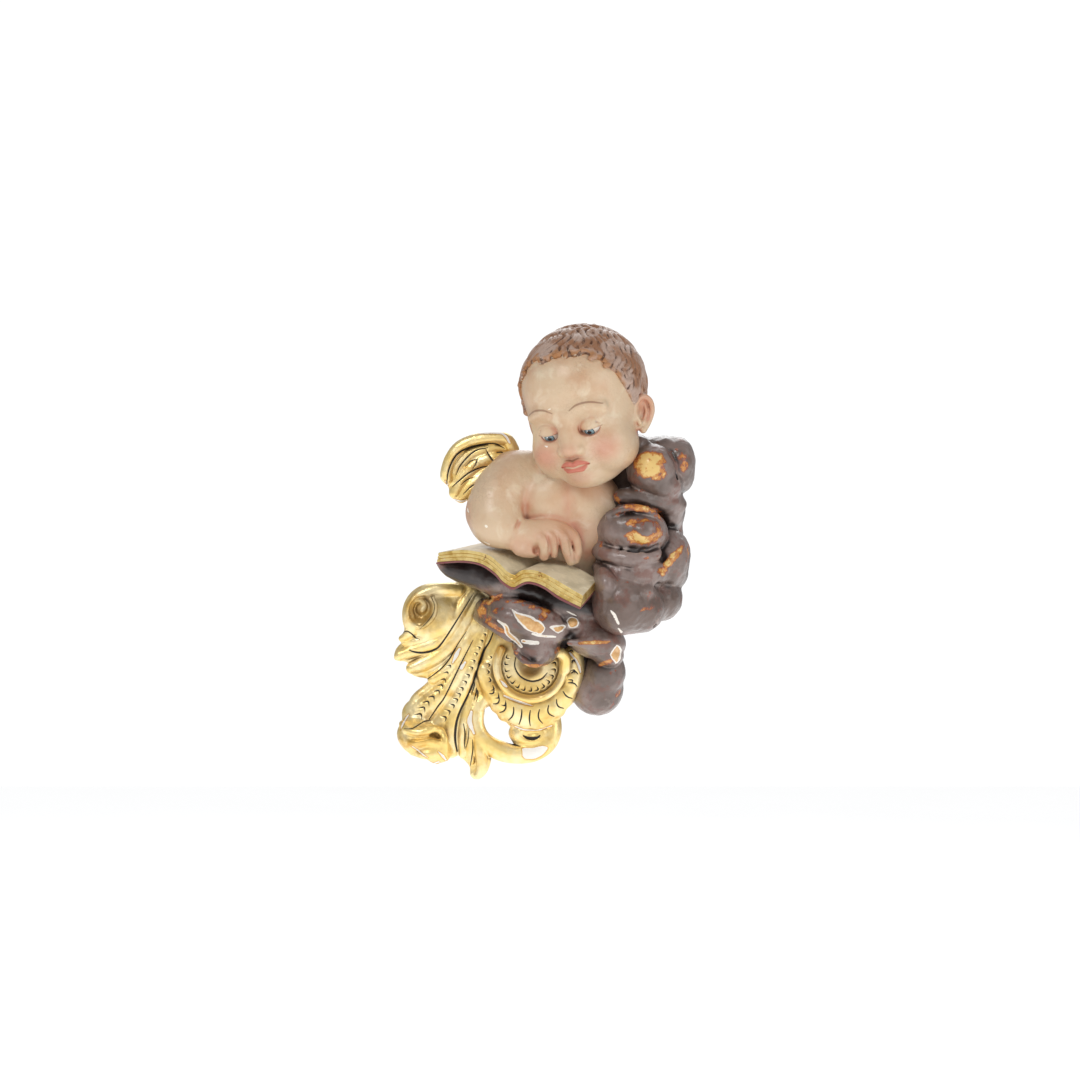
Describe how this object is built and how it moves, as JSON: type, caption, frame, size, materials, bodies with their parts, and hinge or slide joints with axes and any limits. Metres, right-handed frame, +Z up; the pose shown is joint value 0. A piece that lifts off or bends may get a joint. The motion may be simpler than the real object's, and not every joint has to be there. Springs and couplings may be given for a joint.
{
  "type": "carved putto wall ornament",
  "caption": "Carved and painted wooden putto, shown to the waist, that reads an open book on a cloud bank above a gilt scroll; a flat-backed ornament that hangs on a wall.",
  "frame": {"origin": "on the flat back that lies against the wall, behind the open book", "axes": "+Z up as it hangs, +Y into the wall, +X to the right of a viewer who faces it"},
  "size_m": [0.306, 0.1553, 0.4587],
  "materials": {
    "limewood": "limewood on a white ground, painted in flesh, hair, cloud and page colours under a satin varnish, with water gilding on the scroll",
    "gilding": "burnished gold leaf over red bole and a white ground, with black painted feather lines"
  },
  "bodies": {
    "root": {"carving": "limewood", "wing": "gilding"}
  },
  "joints": []
}
